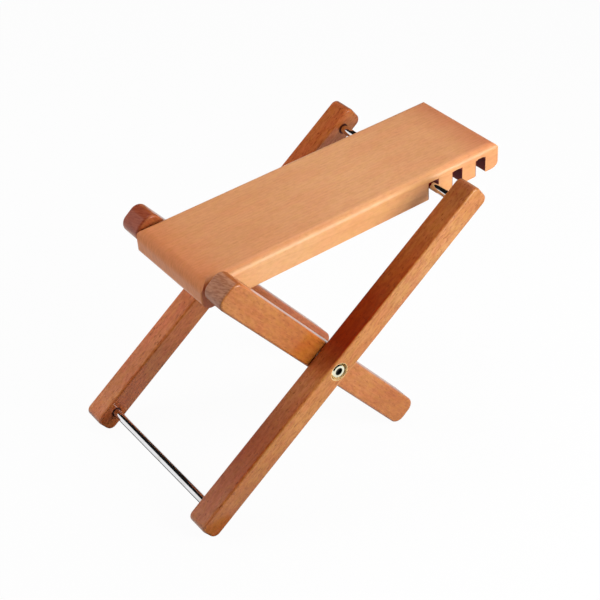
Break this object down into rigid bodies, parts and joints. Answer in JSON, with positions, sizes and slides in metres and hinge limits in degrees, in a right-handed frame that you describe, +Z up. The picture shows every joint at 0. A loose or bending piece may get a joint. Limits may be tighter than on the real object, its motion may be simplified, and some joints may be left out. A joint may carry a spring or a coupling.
{
  "type": "guitar footrest",
  "caption": "Folding beech footrest: a board hinged on crossed legs, its height set by a steel rod in slots under the board.",
  "frame": {"origin": "on the floor, under the middle of the whole footrest's box", "axes": "+X along the board towards its high, slotted end; +Y across to the left side; +Z up"},
  "size_m": [0.2844, 0.1556, 0.1971],
  "materials": {
    "board_beech": "satin varnish",
    "leg_beech": "satin varnish",
    "rod_steel": "polished steel",
    "bolt_nickel": "polished nickel plate",
    "insert_brass": "turned",
    "washer_nylon": "natural nylon"
  },
  "bodies": {
    "short_leg_frame": {"short_leg_right": "leg_beech", "short_leg_left": "leg_beech", "board_hinge_rod": "rod_steel", "pivot_bolt_right": "bolt_nickel", "pivot_bolt_left": "bolt_nickel", "pivot_insert_right": "insert_brass", "pivot_insert_left": "insert_brass", "pivot_washer_right": "washer_nylon", "pivot_washer_left": "washer_nylon"},
    "long_leg_frame": {"long_leg_right": "leg_beech", "long_leg_left": "leg_beech", "height_rod": "rod_steel", "foot_rod": "rod_steel"},
    "footboard": {"board": "board_beech"}
  },
  "joints": [
    {"name": "leg_fold", "type": "hinge", "parent": "short_leg_frame", "child": "long_leg_frame", "pos_m": [-0.02919, 0, 0.09408], "axis": [0, 1, 0], "range_deg": [0, 87]},
    {"name": "board_lift", "type": "hinge", "parent": "short_leg_frame", "child": "footboard", "pos_m": [-0.09782, 0, 0.17129], "axis": [0, -1, 0], "range_deg": [0, 99]}
  ],
  "couplings": [
    {"joint": "board_lift", "follows": "leg_fold", "ratio": 1.138}
  ]
}
